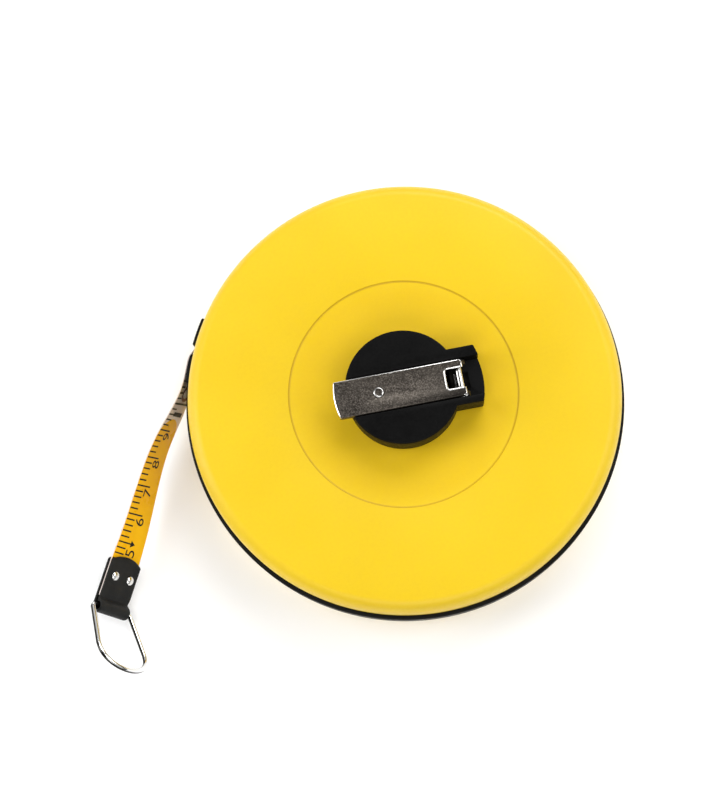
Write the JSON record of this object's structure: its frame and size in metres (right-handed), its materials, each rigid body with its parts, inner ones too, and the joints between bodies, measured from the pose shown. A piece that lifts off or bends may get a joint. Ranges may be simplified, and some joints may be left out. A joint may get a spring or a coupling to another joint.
{
  "type": "tape measure",
  "caption": "Round closed-reel long tape measure with a fold-out winding crank, its printed tape end laid out of the mouth to a riveted strap and a wire ring.",
  "frame": {"origin": "centre of the back face that the case lies on, on the reel axis", "axes": "+Z along the reel axis out of the crank side; the tape leaves the case near -X and runs towards -Y"},
  "size_m": [0.1755, 0.1625, 0.0439],
  "materials": {
    "cover_plastic": "satin moulded yellow plastic",
    "black_plastic": "fine-grained moulded black plastic",
    "reel_plastic": "plain moulded dark grey plastic",
    "bearing_nylon": "natural white bearing plastic",
    "bright_steel": "bright nickel-plated steel",
    "plated_steel": "dark mottled plating, polished along the bent edges",
    "coated_fibreglass": "coated fibreglass with black graduations, yellow film over the first ten centimetres",
    "strap_vinyl": "black coated webbing"
  },
  "bodies": {
    "case": {"front_cover": "cover_plastic", "back_cover": "cover_plastic", "rim_band": "black_plastic", "mouth_guide": "black_plastic", "case_screw_1": "bright_steel", "case_screw_2": "bright_steel", "case_screw_3": "bright_steel", "case_screw_4": "bright_steel", "front_bush": "bearing_nylon", "back_cap": "black_plastic", "spindle": "bright_steel", "spindle_screw": "bright_steel", "thrust_washer": "bearing_nylon"},
    "reel": {"reel_core": "reel_plastic", "front_flange": "reel_plastic", "back_flange": "reel_plastic", "spindle_bush": "bearing_nylon", "tape_roll": "coated_fibreglass", "tape_anchor": "bright_steel", "crank_hub": "black_plastic", "hub_screw": "bright_steel", "hinge_pin": "bright_steel", "detent_spring": "bright_steel"},
    "crank": {"crank_arm": "plated_steel", "knob_rivet": "bright_steel"},
    "knob": {"winding_knob": "black_plastic"},
    "tape_end": {"tape_blade": "coated_fibreglass", "end_strap": "strap_vinyl", "strap_rivet_1": "bright_steel", "strap_rivet_2": "bright_steel"},
    "ring": {"end_ring": "bright_steel"}
  },
  "joints": [
    {"name": "reel_spin", "type": "hinge", "parent": "case", "child": "reel", "pos_m": [0, 0, 0.016], "axis": [0, 0, 1], "continuous": true},
    {"name": "crank_fold", "type": "hinge", "parent": "reel", "child": "crank", "pos_m": [0.01817, 0.00294, 0.04], "axis": [-0.1891, 0.982, 0], "range_deg": [0, 180]},
    {"name": "knob_spin", "type": "hinge", "parent": "crank", "child": "knob", "pos_m": [-0.0076, -0.00202, 0.036], "axis": [0, 0, 1], "continuous": true},
    {"name": "tape_pull", "type": "slide", "parent": "case", "child": "tape_end", "axis": [-0.6915, -0.7224, 0], "range_m": [0, 0.025]},
    {"name": "ring_swing", "type": "hinge", "parent": "tape_end", "child": "ring", "pos_m": [-0.09741, -0.06879, 0.00798], "axis": [-0.5883, 0.1814, 0.788], "range_deg": [-210, 120]}
  ]
}
